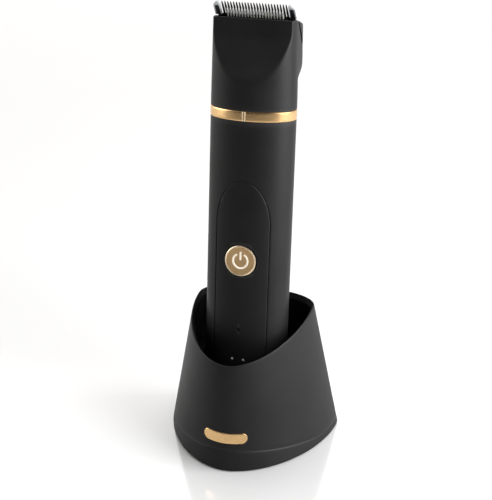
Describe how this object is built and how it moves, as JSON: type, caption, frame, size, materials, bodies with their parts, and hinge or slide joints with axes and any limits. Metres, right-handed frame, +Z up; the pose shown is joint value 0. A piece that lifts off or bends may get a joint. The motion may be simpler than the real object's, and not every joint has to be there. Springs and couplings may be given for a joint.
{
  "type": "body groomer",
  "caption": "Cordless body groomer with a comb blade, gold trim ring and power button, standing in a slanted-mouth charging dock.",
  "frame": {"origin": "centre of the dock's footprint, on the surface it stands on", "axes": "+Z up, the front of the dock and handset faces -Y, +X to the viewer's right"},
  "size_m": [0.0796, 0.0659, 0.2002],
  "materials": {
    "dock_black": "fine matt moulded plastic",
    "well_black": "plain moulded plastic",
    "soft_black": "soft-touch coating",
    "panel_black": "soft-touch coating, slightly smoother",
    "rubber": "moulded rubber",
    "rose_gold": "satin plated",
    "button_gold": "spun satin with a bright rim",
    "symbol_cream": "printed",
    "blade_steel": "ground",
    "guard_grey": "moulded",
    "cutter_ceramic": "fired white",
    "screw_steel": "bright",
    "raw_steel": "drawn",
    "contact_gold": "gold flash",
    "board_green": "solder mask",
    "battery_wrap": "shrink wrap",
    "frame_grey": "moulded",
    "pom_white": "moulded",
    "smoked_lens": "polished",
    "light_pipe": "clear"
  },
  "bodies": {
    "dock": {"dock_shell": "dock_black", "dock_base": "dock_black", "foot_pad": "rubber", "dock_screws": "screw_steel", "ballast_plate": "raw_steel", "cradle": "well_black", "dock_board": "board_green", "usb_inlet": "screw_steel", "contact_block": "well_black", "dock_badge": "rose_gold"},
    "contact_left": {"contact_pin_left": "contact_gold"},
    "contact_right": {"contact_pin_right": "contact_gold"},
    "handset": {"handle_shell": "soft_black", "front_panel": "panel_black", "bottom_cap": "soft_black", "cap_seal": "rubber", "cap_screws": "screw_steel", "charge_pads": "contact_gold", "chassis": "frame_grey", "battery": "battery_wrap", "control_board": "board_green", "tact_switch": "screw_steel", "indicator_lens": "smoked_lens", "status_lights": "light_pipe", "button_seal": "rubber", "motor": "raw_steel", "motor_mount": "frame_grey", "motor_screws": "screw_steel", "shaft_seal": "rubber", "trim_ring": "rose_gold", "head_seal": "rubber", "head_shell": "soft_black", "hinge_pin": "screw_steel"},
    "button": {"power_button": "button_gold", "power_symbol": "symbol_cream"},
    "rotor": {"motor_shaft": "screw_steel", "eccentric_cam": "pom_white"},
    "blade_module": {"blade_carrier": "soft_black", "comb_blade": "blade_steel", "blade_guards": "guard_grey", "blade_screws": "screw_steel", "blade_spring": "screw_steel"},
    "cutter": {"moving_cutter": "cutter_ceramic", "cutter_follower": "pom_white"}
  },
  "joints": [
    {"name": "handset_lift", "type": "slide", "parent": "dock", "child": "handset", "axis": [0, 0.1219, 0.9925], "range_m": [0, 0.06]},
    {"name": "contact_press_left", "type": "slide", "parent": "dock", "child": "contact_left", "axis": [0, 0.1219, 0.9925], "range_m": [-0.0008, 0], "stiffness_N_per_m": 100, "springref_m": 0.002},
    {"name": "contact_press_right", "type": "slide", "parent": "dock", "child": "contact_right", "axis": [0, 0.1219, 0.9925], "range_m": [-0.0008, 0], "stiffness_N_per_m": 100, "springref_m": 0.002},
    {"name": "button_press", "type": "slide", "parent": "handset", "child": "button", "axis": [0, 0.9925, -0.1219], "range_m": [0, 0.0005], "stiffness_N_per_m": 500, "springref_m": -0.001},
    {"name": "motor_spin", "type": "hinge", "parent": "handset", "child": "rotor", "pos_m": [0, 0.01521, 0.13896], "axis": [0, 0.1219, 0.9925], "continuous": true},
    {"name": "blade_release", "type": "hinge", "parent": "handset", "child": "blade_module", "pos_m": [0, 0.03077, 0.1705], "axis": [-1, 0, 0], "range_deg": [0, 35]},
    {"name": "cutter_stroke", "type": "slide", "parent": "blade_module", "child": "cutter", "axis": [1, 0, 0], "range_m": [-0.0009, 0.0009]}
  ]
}
